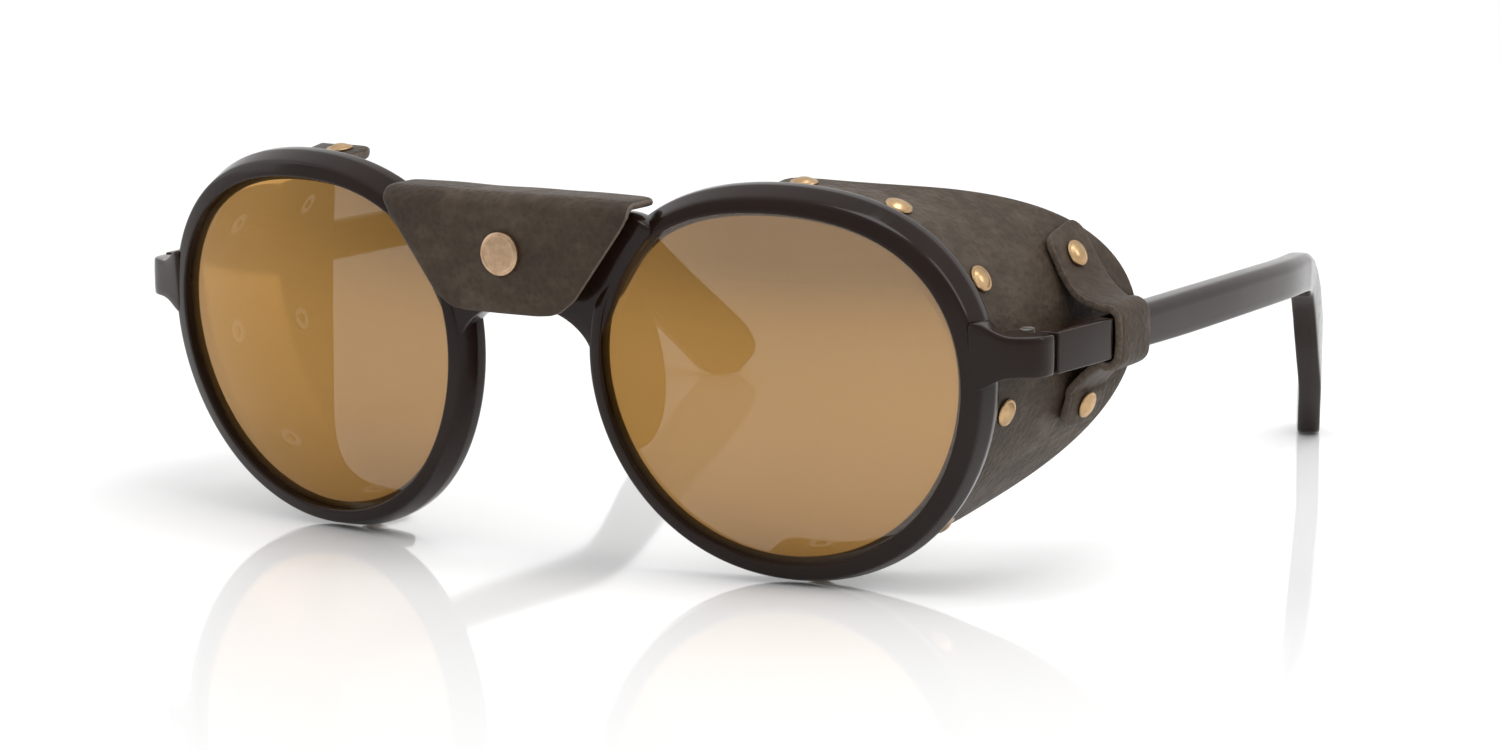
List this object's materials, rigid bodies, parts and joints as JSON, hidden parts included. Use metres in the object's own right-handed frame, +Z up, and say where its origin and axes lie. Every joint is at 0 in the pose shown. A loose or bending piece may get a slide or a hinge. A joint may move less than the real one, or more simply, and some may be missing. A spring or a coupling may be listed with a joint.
{
  "type": "glacier glasses",
  "caption": "Round glacier glasses with mirrored lenses, a leather bridge flap, leather side shields strapped to the temples, and temples that fold.",
  "frame": {"origin": "On the table under the middle of the bounding box, on the symmetry plane, with the temples open.", "axes": "+Z up, +Y from the front of the frame towards the ear tips, +X towards the wearer's left."},
  "size_m": [0.1506, 0.1603, 0.055],
  "materials": {
    "acetate": "very dark brown cellulose acetate, hand polished",
    "mirror_lens": "brown lens with a warm gold mirror coat",
    "leather": "dark brown pebbled leather with cut edges",
    "brass": "aged brass, polished heads",
    "steel": "plain stainless steel"
  },
  "bodies": {
    "front": {"front_frame": "acetate", "lens_left": "mirror_lens", "lens_right": "mirror_lens", "nose_pad_left": "acetate", "nose_pad_right": "acetate", "bridge_flap": "leather", "bridge_stud": "brass", "bridge_stud_washer": "steel", "hinge_front_leaf_left": "steel", "hinge_front_leaf_right": "steel", "hinge_screw_left": "steel", "hinge_screw_right": "steel", "side_shield_left": "leather", "side_shield_right": "leather", "shield_band_left": "steel", "shield_band_right": "steel", "shield_rivets_left": "brass", "shield_rivets_right": "brass", "shield_rivet_washers_left": "steel", "shield_rivet_washers_right": "steel"},
    "temple_left": {"temple_left": "acetate", "temple_core_wire_left": "steel", "hinge_temple_leaf_left": "steel", "temple_strap_left": "leather", "strap_rivets_left": "brass", "strap_rivet_washers_left": "steel"},
    "temple_right": {"temple_right": "acetate", "temple_core_wire_right": "steel", "hinge_temple_leaf_right": "steel", "temple_strap_right": "leather", "strap_rivets_right": "brass", "strap_rivet_washers_right": "steel"}
  },
  "joints": [
    {"name": "fold_left", "type": "hinge", "parent": "front", "child": "temple_left", "pos_m": [0.0679, -0.05665, 0.0333], "axis": [0, -0.1219, 0.9925], "range_deg": [0, 78], "deforming": ["side_shield_left"]},
    {"name": "fold_right", "type": "hinge", "parent": "front", "child": "temple_right", "pos_m": [-0.0679, -0.05665, 0.0333], "axis": [0, 0.1219, -0.9925], "range_deg": [0, 70], "deforming": ["side_shield_right"]}
  ]
}
